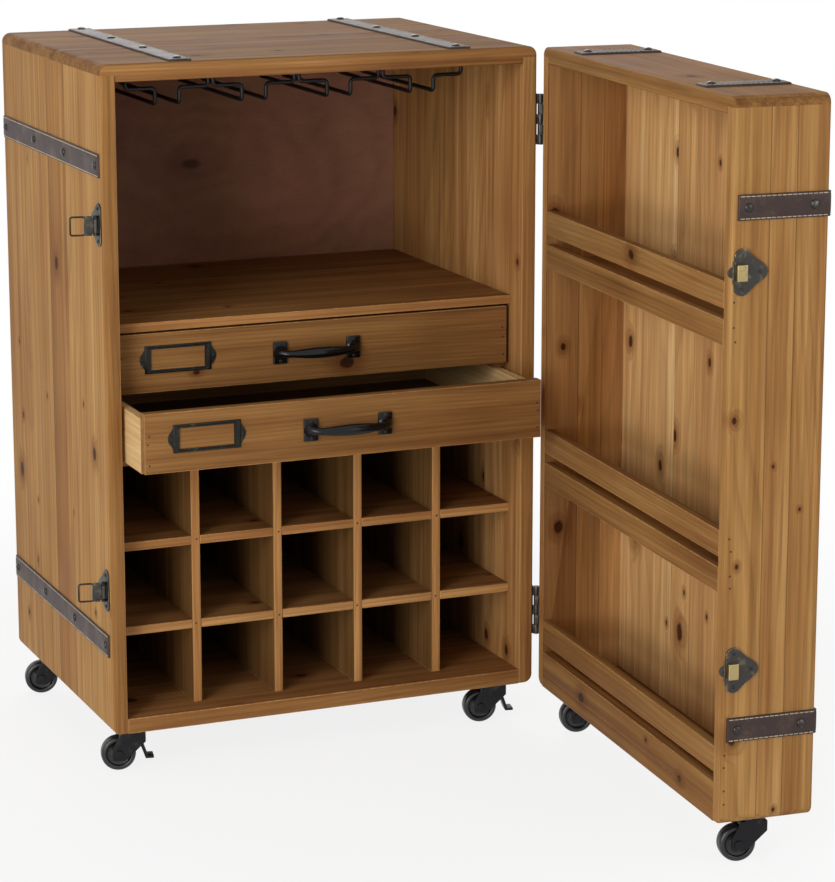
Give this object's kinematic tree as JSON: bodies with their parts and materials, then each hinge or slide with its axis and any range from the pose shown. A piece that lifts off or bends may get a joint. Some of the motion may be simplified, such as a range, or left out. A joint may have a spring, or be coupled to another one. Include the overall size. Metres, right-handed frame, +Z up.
{
  "type": "wine cabinet",
  "caption": "Trunk-style wooden wine cabinet on casters with a deep hinged shelf door, drawers, a bottle rack and a stemware rack.",
  "frame": {"origin": "on the floor under the middle of the carcass", "axes": "+X to the right seen from the front, +Y to the back, +Z up"},
  "size_m": [0.7187, 0.9955, 0.8763],
  "materials": {
    "pine": "waxed, honey brown, knotty",
    "plywood": "stained, dark",
    "leather": "dark, stitched",
    "iron": "blackened, satin",
    "black_wire": "black, satin",
    "brass": "aged",
    "caster_steel": "black, satin",
    "rubber": "matte"
  },
  "bodies": {
    "cabinet": {"left_side": "pine", "right_side": "pine", "top_board": "pine", "bottom_board": "pine", "back_panel": "plywood", "rack_top": "pine", "drawer_shelf": "pine", "rack_shelves": "pine", "rack_divider_1": "pine", "rack_divider_2": "pine", "rack_divider_3": "pine", "rack_divider_4": "pine", "drawer_runners": "pine", "stemware_rack": "black_wire", "straps": "leather", "strap_nails": "iron", "hinge_leaves": "iron", "hinge_pins": "iron", "latch_plates": "iron", "caster_plates": "caster_steel"},
    "door": {"door_free_side": "pine", "door_hinge_side": "pine", "door_top": "pine", "door_bottom": "pine", "door_panel": "pine", "door_shelves": "pine", "door_fascias": "pine", "door_guard_rails": "pine", "door_straps": "leather", "door_strap_nails": "iron", "door_hinge_leaves": "iron", "latch_catches": "iron", "latch_hooks": "brass", "door_caster_plates": "caster_steel"},
    "upper_drawer": {"upper_drawer_front": "pine", "upper_drawer_box": "pine", "upper_drawer_bottom": "plywood", "upper_drawer_pull": "iron", "upper_drawer_card_holder": "iron"},
    "lower_drawer": {"lower_drawer_front": "pine", "lower_drawer_box": "pine", "lower_drawer_bottom": "plywood", "lower_drawer_pull": "iron", "lower_drawer_card_holder": "iron"},
    "upper_hasp": {"upper_hasp": "iron"},
    "lower_hasp": {"lower_hasp": "iron"},
    "front_left_fork": {"front_left_fork": "caster_steel"},
    "front_left_wheel": {"front_left_wheel": "rubber"},
    "front_left_brake": {"front_left_brake": "caster_steel"},
    "front_right_fork": {"front_right_fork": "caster_steel"},
    "front_right_wheel": {"front_right_wheel": "rubber"},
    "front_right_brake": {"front_right_brake": "caster_steel"},
    "rear_left_fork": {"rear_left_fork": "caster_steel"},
    "rear_left_wheel": {"rear_left_wheel": "rubber"},
    "rear_right_fork": {"rear_right_fork": "caster_steel"},
    "rear_right_wheel": {"rear_right_wheel": "rubber"},
    "door_free_fork": {"door_free_fork": "caster_steel"},
    "door_free_wheel": {"door_free_wheel": "rubber"},
    "door_hinge_fork": {"door_hinge_fork": "caster_steel"},
    "door_hinge_wheel": {"door_hinge_wheel": "rubber"}
  },
  "joints": [
    {"name": "door_hinge", "type": "hinge", "parent": "cabinet", "child": "door", "pos_m": [0.2845, -0.2111, 0], "axis": [0, 0, 1], "range_deg": [-86, 94]},
    {"name": "upper_drawer_slide", "type": "slide", "parent": "cabinet", "child": "upper_drawer", "axis": [0, -1, 0], "range_m": [0, 0.27]},
    {"name": "lower_drawer_slide", "type": "slide", "parent": "cabinet", "child": "lower_drawer", "axis": [0, -1, 0], "range_m": [-0.103, 0.167]},
    {"name": "upper_hasp_hinge", "type": "hinge", "parent": "cabinet", "child": "upper_hasp", "pos_m": [-0.2855, -0.201, 0.683], "axis": [0, 0, -1], "range_deg": [-100, 75]},
    {"name": "lower_hasp_hinge", "type": "hinge", "parent": "cabinet", "child": "lower_hasp", "pos_m": [-0.2855, -0.201, 0.238], "axis": [0, 0, -1], "range_deg": [-100, 75]},
    {"name": "front_left_swivel", "type": "hinge", "parent": "cabinet", "child": "front_left_fork", "pos_m": [-0.243, -0.169, 0.058], "axis": [0, 0, 1], "continuous": true},
    {"name": "front_left_roll", "type": "hinge", "parent": "front_left_fork", "child": "front_left_wheel", "pos_m": [-0.26061, -0.16526, 0.0215], "axis": [0.2079, 0.9781, 0], "continuous": true},
    {"name": "front_left_brake_pedal", "type": "hinge", "parent": "front_left_fork", "child": "front_left_brake", "pos_m": [-0.24007, -0.16962, 0.04], "axis": [-0.2079, -0.9781, 0], "range_deg": [0, 18]},
    {"name": "front_right_swivel", "type": "hinge", "parent": "cabinet", "child": "front_right_fork", "pos_m": [0.243, -0.169, 0.058], "axis": [0, 0, 1], "continuous": true},
    {"name": "front_right_roll", "type": "hinge", "parent": "front_right_fork", "child": "front_right_wheel", "pos_m": [0.22539, -0.16526, 0.0215], "axis": [0.2079, 0.9781, 0], "continuous": true},
    {"name": "front_right_brake_pedal", "type": "hinge", "parent": "front_right_fork", "child": "front_right_brake", "pos_m": [0.24593, -0.16962, 0.04], "axis": [-0.2079, -0.9781, 0], "range_deg": [0, 18]},
    {"name": "rear_left_swivel", "type": "hinge", "parent": "cabinet", "child": "rear_left_fork", "pos_m": [-0.243, 0.169, 0.058], "axis": [0, 0, 1], "continuous": true},
    {"name": "rear_left_roll", "type": "hinge", "parent": "rear_left_fork", "child": "rear_left_wheel", "pos_m": [-0.26061, 0.17274, 0.0215], "axis": [0.2079, 0.9781, 0], "continuous": true},
    {"name": "rear_right_swivel", "type": "hinge", "parent": "cabinet", "child": "rear_right_fork", "pos_m": [0.243, 0.169, 0.058], "axis": [0, 0, 1], "continuous": true},
    {"name": "rear_right_roll", "type": "hinge", "parent": "rear_right_fork", "child": "rear_right_wheel", "pos_m": [0.22539, 0.17274, 0.0215], "axis": [0.2079, 0.9781, 0], "continuous": true},
    {"name": "door_free_swivel", "type": "hinge", "parent": "door", "child": "door_free_fork", "pos_m": [0.30566, -0.74137, 0.058], "axis": [0, 0, 1], "continuous": true},
    {"name": "door_free_roll", "type": "hinge", "parent": "door_free_fork", "child": "door_free_wheel", "pos_m": [0.28806, -0.73762, 0.0215], "axis": [0.2079, 0.9781, 0], "continuous": true},
    {"name": "door_hinge_swivel", "type": "hinge", "parent": "door", "child": "door_hinge_fork", "pos_m": [0.33956, -0.25655, 0.058], "axis": [0, 0, 1], "continuous": true},
    {"name": "door_hinge_roll", "type": "hinge", "parent": "door_hinge_fork", "child": "door_hinge_wheel", "pos_m": [0.32196, -0.25281, 0.0215], "axis": [0.2079, 0.9781, 0], "continuous": true}
  ]
}
